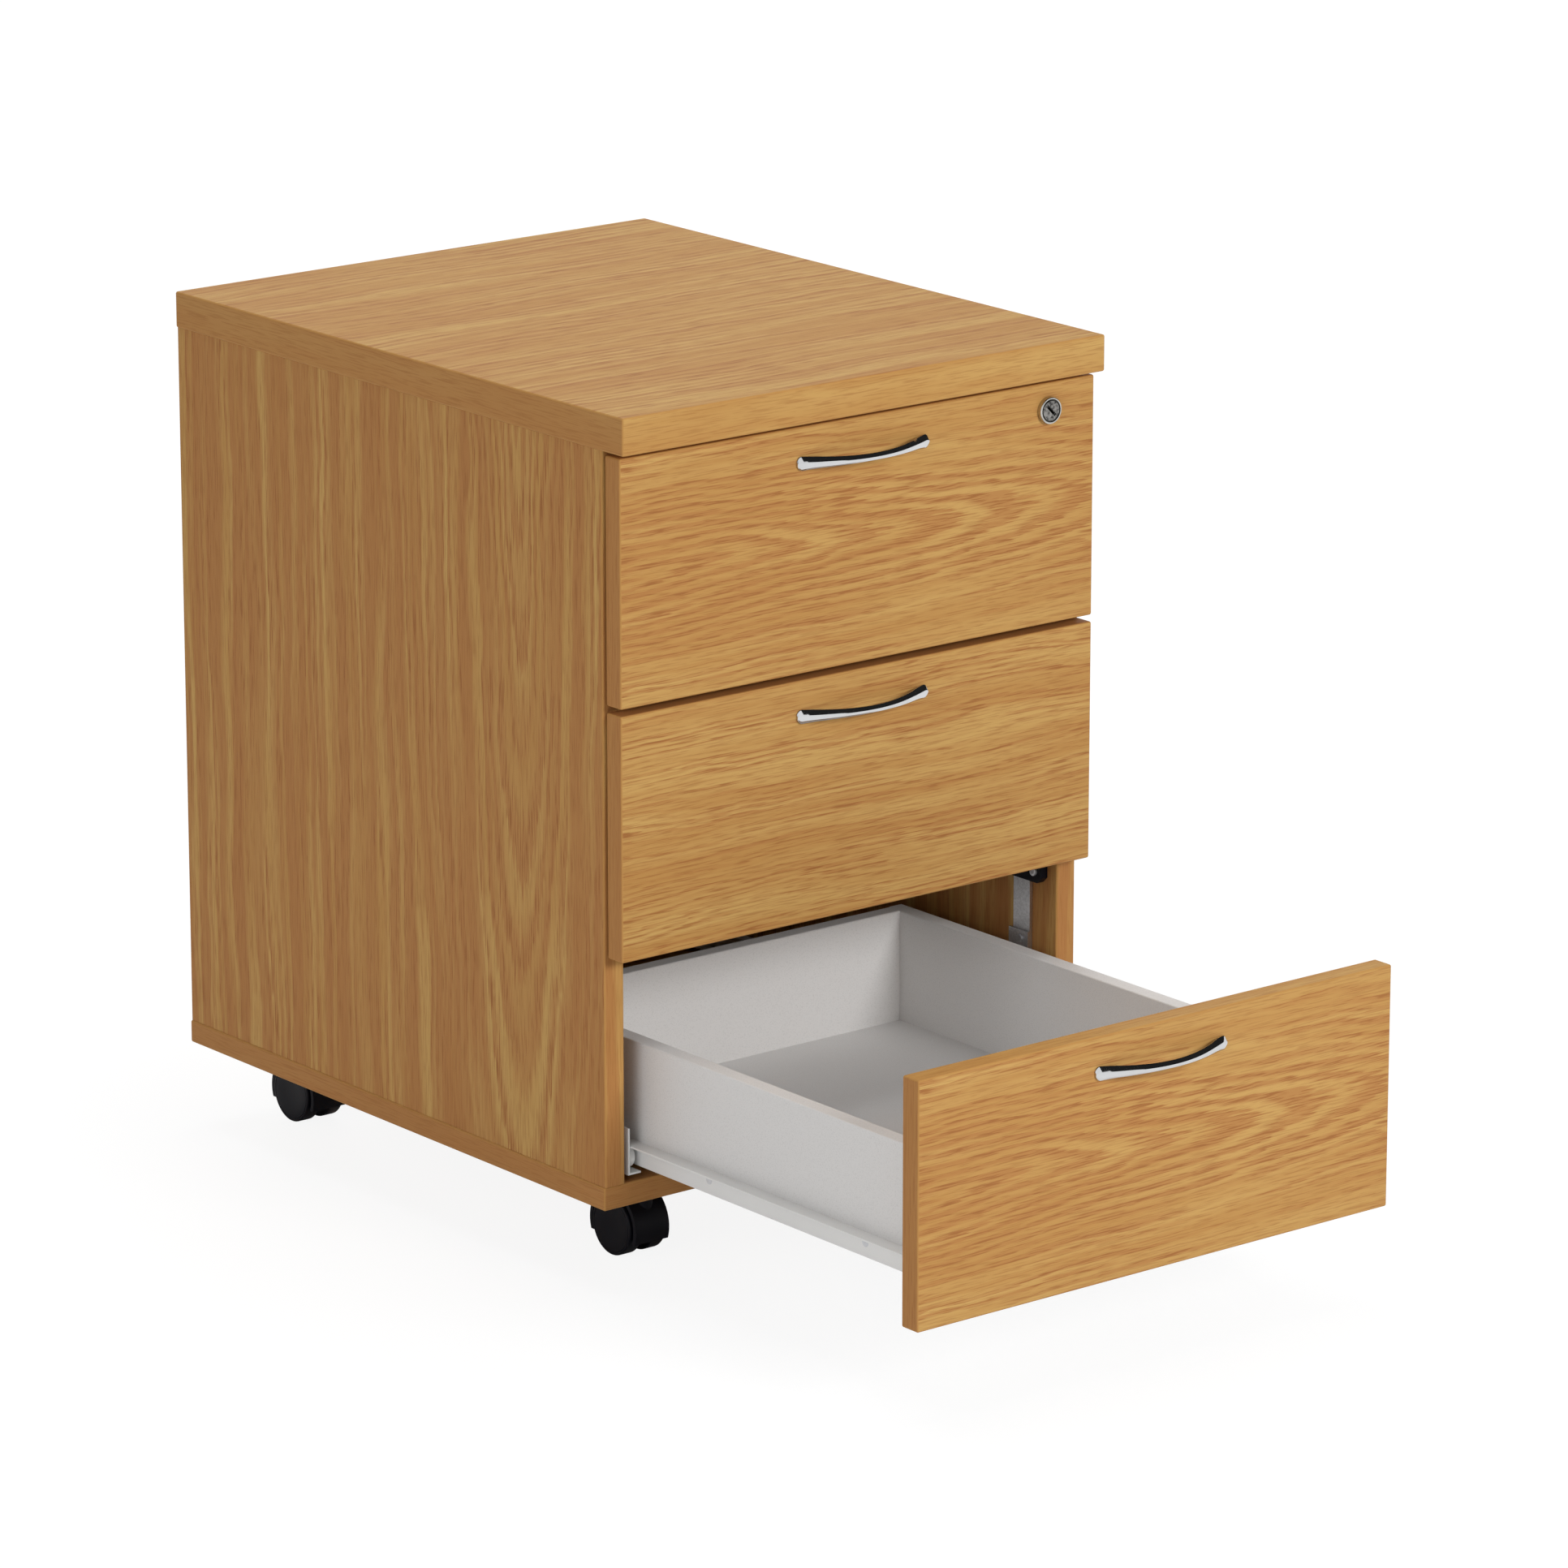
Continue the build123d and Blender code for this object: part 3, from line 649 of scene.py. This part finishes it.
def cut_away(piece, name, place, size, turn=(0, 0, 0)):
    """Cut a block out of a piece."""
    start_clean()
    bpy.ops.mesh.primitive_cube_add(size=1.0, location=place, rotation=turn, scale=size)
    cutter = named(name)
    settle()
    cut = piece.modifiers.new("cut", "BOOLEAN")
    cut.operation = "DIFFERENCE"
    cut.object = cutter
    start_clean()
    bpy.context.view_layer.objects.active = piece
    bpy.ops.object.modifier_apply(modifier="cut")
    bpy.data.objects.remove(cutter)


def fit_out(piece, material, slot, body, *nodes):
    """Give a piece its finish, its body and the CAD nodes that it stands for."""
    piece.data.materials.clear()
    piece.data.materials.append(material)
    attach(piece, body)
    if nodes:
        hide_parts(*nodes)


# Operators

class PEDESTAL_OT_boards(bpy.types.Operator):
    """Finish the carcass boards and the drawer fronts in oak effect"""
    bl_idname = "pedestal.boards"
    bl_label = "Oak boards"

    def execute(self, context):
        oak = context.scene.pedestal.oak
        for name, grain in BOARDS.items():
            low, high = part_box(name)
            dress(oak_finish("oak_" + name, oak, grain, (low + high) / 2), name)
        return {"FINISHED"}


class PEDESTAL_OT_drawer_boxes(bpy.types.Operator):
    """Finish the drawer walls and bottoms in pale foil"""
    bl_idname = "pedestal.drawer_boxes"
    bl_label = "Drawer boxes"

    def execute(self, context):
        foil = foil_finish("drawer_foil", context.scene.pedestal.fitting.foil)
        dress_drawers(foil, "_left_wall", "_right_wall", "_back_wall", "_bottom_board")
        return {"FINISHED"}


class PEDESTAL_OT_runners(bpy.types.Operator):
    """Finish the runners in white coat and their rollers in white nylon"""
    bl_idname = "pedestal.runners"
    bl_label = "Runners and rollers"

    def execute(self, context):
        fitting = context.scene.pedestal.fitting
        dress_drawers(coat_finish("runner_coat", fitting.coat), "_runners", "_cabinet_runners")
        nylon = nylon_finish("roller_nylon", fitting.white, roughness=0.38)
        dress_drawers(nylon, "_front_rollers", "_rear_rollers")
        dress(nylon, "runner_packers")
        return {"FINISHED"}


class PEDESTAL_OT_handles(bpy.types.Operator):
    """Model the chrome bow handles"""
    bl_idname = "pedestal.handles"
    bl_label = "Bow handles"

    curve = (1.25, 0.25)  # shares of the square and of the sixth power in the bow's curve
    pad_start = 0.62  # share of the half length at which the pads begin to deepen
    pad_reach = 0.30  # and over which they reach the drawer front
    last_share = 0.996  # where the last sections stand, short of the tips
    ridge_segments = 6

    def section(self, handle, share):
        """Centre, half thickness and half height of the bow at a share of its half length."""
        half = handle.span / 2
        tip = handle.end_height / 2
        square, sixth = self.curve
        proud = HANDLE_SIZE.y - handle.bow * (square * share ** 2 - sixth * share ** 6)
        slim = handle.middle_thickness / 2
        settled = min(1.0, max(0.0, (abs(share) - self.pad_start) / self.pad_reach))
        deep = slim + (proud / 2 + handle.overlap - slim) * settled ** 2 * (3 - 2 * settled)
        tall = handle.middle_height / 2 + (tip - handle.middle_height / 2) * share ** 2
        past = max(0.0, abs(share) * half - (half - tip)) / tip
        tall = min(tall, tip * math.sqrt(max(0.0, 1 - past ** 2)))
        middle = (HANDLE_LOW + HANDLE_HIGH) / 2
        centre = Vector((middle.x + share * half, HANDLE_HIGH.y - proud + deep, middle.z))
        return centre, deep, tall

    def model(self, handle):
        """One handle, drawn out section by section and cut flat where it meets the drawer front."""
        steps = handle.sections
        shares = [self.last_share * math.sin(math.pi * (i / steps - 0.5)) for i in range(steps + 1)]
        centre, deep, tall = self.section(handle, shares[0])
        start_clean()
        bpy.ops.mesh.primitive_plane_add(size=2.0, location=centre, rotation=ALONG_X)
        piece = named("bow_handle")
        settle()
        bpy.ops.object.mode_set(mode="EDIT")
        for upward, slope in ((1, handle.crown), (-1, handle.heel)):
            pick_corners(piece, lambda place: (place.z - centre.z) * upward > 0)
            round_corners(slope, 1)
        pick_corners(piece, lambda place: True)
        round_corners(handle.ridge, self.ridge_segments)
        bpy.ops.mesh.select_mode(type="FACE")
        bpy.ops.mesh.select_all(action="SELECT")
        bpy.ops.transform.resize(value=(1, deep, tall), center_override=centre)
        for share in shares[1:]:
            next_centre, next_deep, next_tall = self.section(handle, share)
            draw_out(next_centre - centre)
            scale = (1, next_deep / deep, next_tall / tall)
            bpy.ops.transform.resize(value=scale, center_override=next_centre)
            centre, deep, tall = next_centre, next_deep, next_tall
        bpy.ops.mesh.select_all(action="SELECT")
        bpy.ops.mesh.bisect(plane_co=(0, HANDLE_HIGH.y, 0), plane_no=(0, 1, 0), use_fill=True, clear_outer=True)
        close_up(piece, sharp=35.0)
        return piece

    def execute(self, context):
        settings = context.scene.pedestal
        chrome = metal_finish("handle_chrome", settings.fitting.chrome, roughness=0.055, mottle=0.06, scale=40.0)
        first = self.model(settings.handle)
        first.name = "top_bow_handle"
        fit_out(first, chrome, "chrome", "top_drawer", "top_handle")
        for drawer in ("middle", "bottom"):
            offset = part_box(drawer + "_handle")[0] - HANDLE_LOW
            piece = copied(first, drawer + "_bow_handle", offset)
            fit_out(piece, chrome, "chrome", drawer + "_drawer", drawer + "_handle")
        return {"FINISHED"}


class PEDESTAL_OT_lock(bpy.types.Operator):
    """Model the lock's rim and slotted face, and finish its bar, guides and catches"""
    bl_idname = "pedestal.lock"
    bl_label = "Lock"

    rim_corners = 72
    rim_segments = 5
    face_corners = 64
    face_segments = 3
    sharp = 30.0
    opening_play = 1.01  # so that the rim itself isn't picked with its opening
    slot_cut = 3  # depth of the slot's cutter, in heights of the face
    painted_shade_depth = 0.0060  # behind the plug's front, where the painted shade ends and bright nickel begins

    def model_rim(self, lock):
        """A pressed cap over the housing's flange, open at the front."""
        low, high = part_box("lock_housing")
        front = low.y - lock.rim_height
        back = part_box("top_front")[0].y
        radius = (high.x - low.x) / 2 + lock.rim_sheet
        middle = Vector(((low.x + high.x) / 2, (front + back) / 2, (low.z + high.z) / 2))
        piece = start_disc("lock_rim", self.rim_corners, radius, back - front, middle, ALONG_Y)
        pick_edges(piece, lambda ends: all(end.y < middle.y for end in ends))
        round_edges(lock.rim_round, self.rim_segments)
        pick_faces(piece, lambda centre, normal: normal.y < -SQUARE)
        bpy.ops.mesh.inset(thickness=lock.rim_width - lock.rim_round)
        pick_faces(piece, lambda centre, normal: normal.y > SQUARE)
        bpy.ops.mesh.inset(thickness=lock.rim_sheet)
        draw_out((0, low.y - back, 0))
        bpy.ops.mesh.inset(thickness=lock.rim_width - lock.rim_sheet)
        opening = radius - lock.rim_width * self.opening_play
        pick_faces(piece, lambda centre, normal: abs(normal.y) > SQUARE and (centre - middle).xz.length < opening)
        bpy.ops.mesh.bridge_edge_loops()
        close_up(piece, self.sharp)
        return piece

    def model_face(self, lock):
        """The plug's round face with its key slot."""
        low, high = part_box("lock_housing")
        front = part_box("lock_plug")[0].y
        middle = Vector(((low.x + high.x) / 2, front - lock.face_height / 2, (low.z + high.z) / 2))
        piece = start_disc("plug_face", self.face_corners, lock.face_radius, lock.face_height, middle, ALONG_Y)
        pick_edges(piece, lambda ends: all(end.y < middle.y for end in ends))
        round_edges(lock.face_round, self.face_segments)
        slot = (lock.slot_length, lock.face_height * self.slot_cut, lock.slot_width)
        cut_away(piece, "slot_cutter", middle, slot, (0, lock.slot_turn, 0))
        close_up(piece, self.sharp)
        return piece

    def execute(self, context):
        settings = context.scene.pedestal
        fitting = settings.fitting
        nickel = metal_finish("lock_nickel", fitting.nickel, roughness=0.16, mottle=0.15, scale=220.0)
        fit_out(self.model_rim(settings.lock), nickel, "nickel", "top_drawer")
        # Painted shade: the plug's face takes the darkened nickel colour
        shaded_face_nickel = metal_finish("face_nickel", fitting.shaded_face_nickel, roughness=0.20, mottle=0.85, scale=460.0)
        fit_out(self.model_face(settings.lock), shaded_face_nickel, "nickel", "lock_plug")
        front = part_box("lock_plug")[0].y
        painted_recess_shade = painted_shade_finish("lock_recess", fitting.nickel, front, self.painted_shade_depth)
        dress(painted_recess_shade, "lock_housing", "lock_plug")
        dress(spangle_finish("lock_bar_zinc", fitting.zinc), "lock_bar")
        catch = metal_finish("catch_zinc", fitting.zinc, roughness=0.32, mottle=0.12, scale=120.0)
        dress_drawers(catch, "_lock_catch")
        dress(nylon_finish("guide_nylon", fitting.black, roughness=0.34), "lock_bar_guides")
        return {"FINISHED"}


class PEDESTAL_OT_fasteners(bpy.types.Operator):
    """Model the pan heads with a driver's cross, and finish all the screws, cams and bolts"""
    bl_idname = "pedestal.fasteners"
    bl_label = "Fasteners"

    corners = 32
    dome = 0.6  # share of the head's height that is domed
    dome_segments = 5
    cross_depth = 1.2  # of the cutter, as a share of the head's height, half of it outside the head
    sharp = 30.0

    def model_head(self, fastener):
        """One domed head that faces left, with a sunk cross, standing on the origin."""
        height = fastener.head_height
        middle = (-height / 2, 0, 0)
        head = start_disc("pan_head", self.corners, fastener.head_radius, height, middle, ALONG_X)
        pick_edges(head, lambda ends: all(end.x < -height / 2 for end in ends))
        round_edges(height * self.dome, self.dome_segments)
        arm = (fastener.cross_length, fastener.cross_width)
        for width, tall in (arm, reversed(arm)):
            cut_away(head, "cross_cutter", (-height, 0, 0), (height * self.cross_depth, width, tall))
        close_up(head, self.sharp)
        return head

    def guide_places(self, fastener):
        """Places of the bar guides' screws, on the guides' inner faces."""
        low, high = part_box("lock_bar_guides")
        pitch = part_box("middle_front")[0].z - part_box("bottom_front")[0].z
        half = fastener.guide_height / 2
        heights = (low.z + half, low.z + half + pitch, high.z - half)
        ends = (low.y + fastener.guide_inset, high.y - fastener.guide_inset)
        return [Vector((low.x, y, z)) for y in ends for z in heights]

    def execute(self, context):
        settings = context.scene.pedestal
        zinc = metal_finish("screw_zinc", settings.fitting.zinc, roughness=0.26, mottle=0.10, scale=300.0)
        dress(zinc, "carcass_fasteners")
        dress_drawers(zinc, "_screws")
        head = self.model_head(settings.fastener)
        for number, place in enumerate(self.guide_places(settings.fastener), start=1):
            piece = copied(head, "guide_screw_head_%d" % number, place)
            fit_out(piece, zinc, "zinc_steel", "carcass")
        bpy.data.objects.remove(head)
        return {"FINISHED"}


class PEDESTAL_OT_castors(bpy.types.Operator):
    """Model the castor wheels and finish the hoods and plates"""
    bl_idname = "pedestal.castors"
    bl_label = "Castors"

    corners = 72
    tread_segments = 5
    sharp = 30.0

    def model_wheel(self, castor, low, high, outward):
        """One wheel: rounded tread, a ring groove and a shallow dish outside, a bore for the axle inside."""
        radius = (high.z - low.z) / 2
        face_ring = radius / 4
        dish_slope = radius / 5
        middle = (low + high) / 2
        piece = start_disc("castor_wheel", self.corners, radius, high.x - low.x, middle, ALONG_X)
        pick_edges(piece, lambda ends: (ends[0].x - middle.x) * (ends[1].x - middle.x) > 0)
        round_edges(castor.tread_round, self.tread_segments)
        pick_faces(piece, lambda centre, normal: normal.x * outward > SQUARE)
        bpy.ops.mesh.inset(thickness=castor.groove_inset)
        bpy.ops.mesh.inset(thickness=castor.groove_depth, depth=-castor.groove_depth)
        bpy.ops.mesh.inset(thickness=castor.groove_depth, depth=castor.groove_depth)
        bpy.ops.mesh.inset(thickness=face_ring)
        bpy.ops.mesh.inset(thickness=dish_slope, depth=-castor.dish)
        pick_faces(piece, lambda centre, normal: normal.x * outward < -SQUARE)
        bpy.ops.mesh.inset(thickness=radius - castor.tread_round - castor.bore_radius)
        draw_out((outward * castor.bore_depth, 0, 0))
        close_up(piece, self.sharp)
        return piece

    def execute(self, context):
        settings = context.scene.pedestal
        fitting = settings.fitting
        nylon = nylon_finish("castor_nylon", fitting.black, roughness=0.34)
        for end, outward in (("_wheel_a", -1), ("_wheel_b", 1)):
            low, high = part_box(CASTORS[0] + end)
            pattern = self.model_wheel(settings.castor, low, high, outward)
            for castor in CASTORS:
                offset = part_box(castor + end)[0] - low
                piece = copied(pattern, castor + "_twin" + end, offset)
                fit_out(piece, nylon, "black_nylon", castor + end, castor + end)
            bpy.data.objects.remove(pattern)
        hood = nylon_finish("hood_nylon", fitting.black, roughness=0.40)
        dress(hood, *[castor + "_castor_hood" for castor in CASTORS])
        plate = metal_finish("plate_zinc", fitting.zinc, roughness=0.30, mottle=0.10, scale=160.0)
        dress(plate, "castor_plates")
        return {"FINISHED"}


class PEDESTAL_OT_stage(bpy.types.Operator):
    """Set up the camera, the floor and the studio light"""
    bl_idname = "pedestal.stage"
    bl_label = "Stage"

    sensor = 36.0
    white = (1, 1, 1, 1)
    dark = (0.02, 0.02, 0.02, 1)
    floor_size = 60.0
    floor_gap = 0.0004  # between the wheels and the floor
    floor_glow = 1.04
    shadow_reach = (0.35, 0.95)  # metres from the middle over which the shadow fades
    shadow_glow = 0.86  # share of the glow that the camera sees in the shadow
    target = (0.0, 0.05, 0.3)
    lights = {  # place, width and the setting that holds the power
        "key_light": ((0.5, -3.8, 1.85), 1.4, "key"),
        "left_light": ((-3.4, -1.2, 1.6), 2.4, "fill"),
        "overhead_light": ((0.1, 0.3, 3.2), 2.4, "overhead"),
        "back_light": ((1.7, 3.2, 1.5), 2.4, "behind"),
    }
    cards = {  # place, turn and size
        "ceiling_card": ((0, 0, 4.4), (0, 0, 0), 12.0),
        "right_card": ((6.0, -1.0, 3.9), (QUARTER_TURN, 0, QUARTER_TURN), 6.4),
        "front_card": ((3.6, -5.4, 3.9), (QUARTER_TURN, 0, math.radians(35)), 6.4),
    }

    def add_camera(self, stage):
        start_clean()
        aim = Vector(stage.camera_aim).to_track_quat("-Z", "Y").to_euler()
        bpy.ops.object.camera_add(location=stage.camera_place, rotation=aim)
        camera = named("photo_camera")
        camera.data.sensor_fit = "HORIZONTAL"
        camera.data.sensor_width = self.sensor
        camera.data.lens = stage.lens
        bpy.context.scene.camera = camera

    def add_floor(self, stage):
        """Floor that glows white to the camera and in gloss, and keeps the shadow near the object."""
        start_clean()
        bpy.ops.mesh.primitive_plane_add(size=self.floor_size, location=(0, 0, CAD_LOW.z - self.floor_gap))
        floor = named("studio_floor")
        material, f = new_finish("pale_floor")
        x, y = f.axes(f.place())[:2]
        lit = f.add("ShaderNodeBsdfDiffuse", None, {"Color": rgba(stage.floor)})
        glow = f.add("ShaderNodeEmission", None, {"Color": self.white, "Strength": self.floor_glow})
        far = f.rise(f.root(x * x + y * y), *self.shadow_reach)
        seen, mirrored = f.rays()
        shown = f.larger(seen * f.choose(self.shadow_glow, 1.0, far), mirrored * far)
        f.show(f.mix_shaders(lit, glow, shown))
        floor.data.materials.append(material)

    def add_light(self, name, place, width, energy):
        """Soft round light that doesn't show in gloss."""
        start_clean()
        turn = (Vector(self.target) - Vector(place)).to_track_quat("-Z", "Y").to_euler()
        bpy.ops.object.light_add(type="AREA", location=place, rotation=turn)
        light = named(name)
        light.data.shape = "DISK"
        light.data.size = width
        light.data.energy = energy
        light.visible_glossy = False

    def add_card(self, name, place, turn, size):
        """Dark card that only shows in gloss, as a photographer hangs round a shiny piece."""
        start_clean()
        bpy.ops.mesh.primitive_plane_add(size=size, location=place, rotation=turn)
        card = named(name)
        material, f = new_finish(name)
        f.show(f.add("ShaderNodeEmission", None, {"Color": self.dark, "Strength": 1.0}))
        card.data.materials.append(material)
        card.visible_camera = False
        card.visible_diffuse = False
        card.visible_shadow = False

    def add_surround(self, stage):
        """Soft light from all round that shows as white."""
        world = bpy.data.worlds.new("studio_surround")
        world.use_nodes = True
        bpy.context.scene.world = world
        f = Finish(world.node_tree)
        soft = f.add("ShaderNodeBackground", None, {"Color": self.white, "Strength": stage.sky})
        shown = f.add("ShaderNodeBackground", None, {"Color": self.white, "Strength": 1.0})
        f.show(f.mix_shaders(soft, shown, f.larger(*f.rays())), "ShaderNodeOutputWorld")

    def execute(self, context):
        stage = context.scene.pedestal.stage
        self.add_camera(stage)
        self.add_floor(stage)
        for name, (place, width, setting) in self.lights.items():
            self.add_light(name, place, width, getattr(stage, setting))
        for name, (place, turn, size) in self.cards.items():
            self.add_card(name, place, turn, size)
        self.add_surround(stage)
        context.scene.view_settings.view_transform = "Standard"
        return {"FINISHED"}


class PEDESTAL_PT_panel(bpy.types.Panel):
    """The pedestal's pieces and settings"""
    bl_idname = "PEDESTAL_PT_panel"
    bl_label = "Pedestal"
    bl_space_type = "VIEW_3D"
    bl_region_type = "UI"
    bl_category = "Pedestal"

    def draw(self, context):
        for operator in OPERATORS:
            self.layout.operator(operator.bl_idname)
        settings = context.scene.pedestal
        for group in PedestalSettings.__annotations__:
            box = self.layout.box()
            for name in getattr(settings, group).__annotations__:
                box.prop(getattr(settings, group), name)


OPERATORS = (PEDESTAL_OT_boards, PEDESTAL_OT_drawer_boxes, PEDESTAL_OT_runners, PEDESTAL_OT_handles,
             PEDESTAL_OT_lock, PEDESTAL_OT_fasteners, PEDESTAL_OT_castors, PEDESTAL_OT_stage)
CLASSES = (OakSettings, FittingSettings, HandleSettings, LockSettings, CastorSettings, FastenerSettings,
           StageSettings, PedestalSettings, *OPERATORS, PEDESTAL_PT_panel)


def register():
    for item in CLASSES:
        bpy.utils.register_class(item)
    bpy.types.Scene.pedestal = PointerProperty(type=PedestalSettings)


def unregister():
    del bpy.types.Scene.pedestal
    for item in reversed(CLASSES):
        bpy.utils.unregister_class(item)


def main():
    register()
    bpy.ops.pedestal.boards()
    bpy.ops.pedestal.drawer_boxes()
    bpy.ops.pedestal.runners()
    bpy.ops.pedestal.handles()
    bpy.ops.pedestal.lock()
    bpy.ops.pedestal.fasteners()
    bpy.ops.pedestal.castors()
    bpy.ops.pedestal.stage()


if __name__ == "__main__":
    main()
